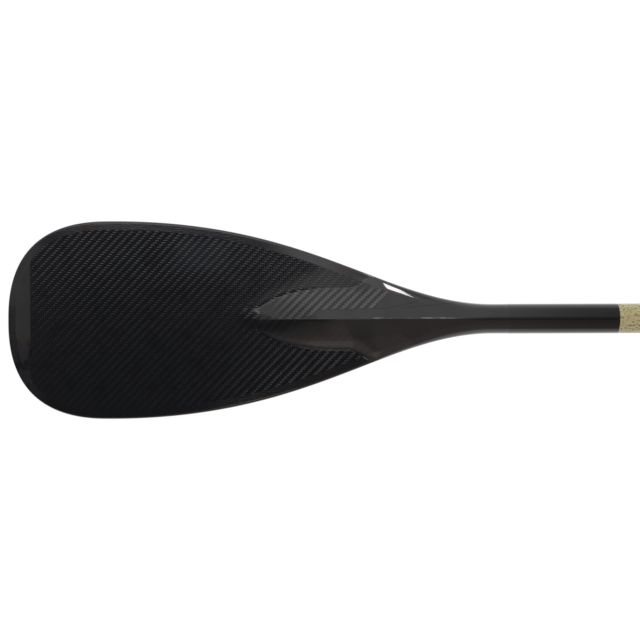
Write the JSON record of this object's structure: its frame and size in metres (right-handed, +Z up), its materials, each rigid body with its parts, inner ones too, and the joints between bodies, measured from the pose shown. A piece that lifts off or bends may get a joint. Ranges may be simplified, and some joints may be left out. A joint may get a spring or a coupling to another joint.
{
  "type": "stand-up paddle",
  "caption": "Fixed-length stand-up paddle with a broad canted carbon blade, a raised spine, a slim olive braided shaft and a moulded palm grip.",
  "frame": {"origin": "middle of the box that the paddle fills as it lies on the floor, at floor level", "axes": "+X from the blade to the grip, +Y across the blade to its left edge, +Z up out of the blade's power face"},
  "size_m": [2.094, 0.1846, 0.0727],
  "materials": {
    "carbon_twill": "clear gloss over 2x2 twill carbon cloth",
    "edge_resin": "gloss black resin edge",
    "neck_gloss": "clear gloss over one-way carbon",
    "carbon_plain": "satin one-way carbon",
    "foam": "closed-cell foam",
    "aramid_braid": "clear gloss over aramid and carbon braid",
    "label_film": "gloss black wrapped film, bare",
    "adhesive": "amber hot-melt adhesive",
    "grip_gloss": "clear gloss over carbon cloth"
  },
  "bodies": {
    "root": {"blade_tip_block": "edge_resin", "blade_rail_left": "edge_resin", "blade_rail_right": "edge_resin", "blade_face_skin": "carbon_twill", "blade_back_skin": "carbon_twill", "blade_core_left": "foam", "blade_core_right": "foam", "blade_spar": "carbon_plain", "neck_sleeve": "neck_gloss", "neck_core": "foam", "blade_spigot_socket": "edge_resin", "blade_spigot": "carbon_plain", "blade_spigot_bond": "adhesive", "blade_spigot_plug": "foam", "shaft_tube": "carbon_plain", "shaft_label": "label_film", "shaft_braid": "aramid_braid", "shaft_top_plug": "foam", "grip_spigot": "carbon_plain", "grip_bond": "adhesive", "grip_shell_front": "grip_gloss", "grip_shell_back": "grip_gloss", "grip_core": "foam"}
  },
  "joints": []
}
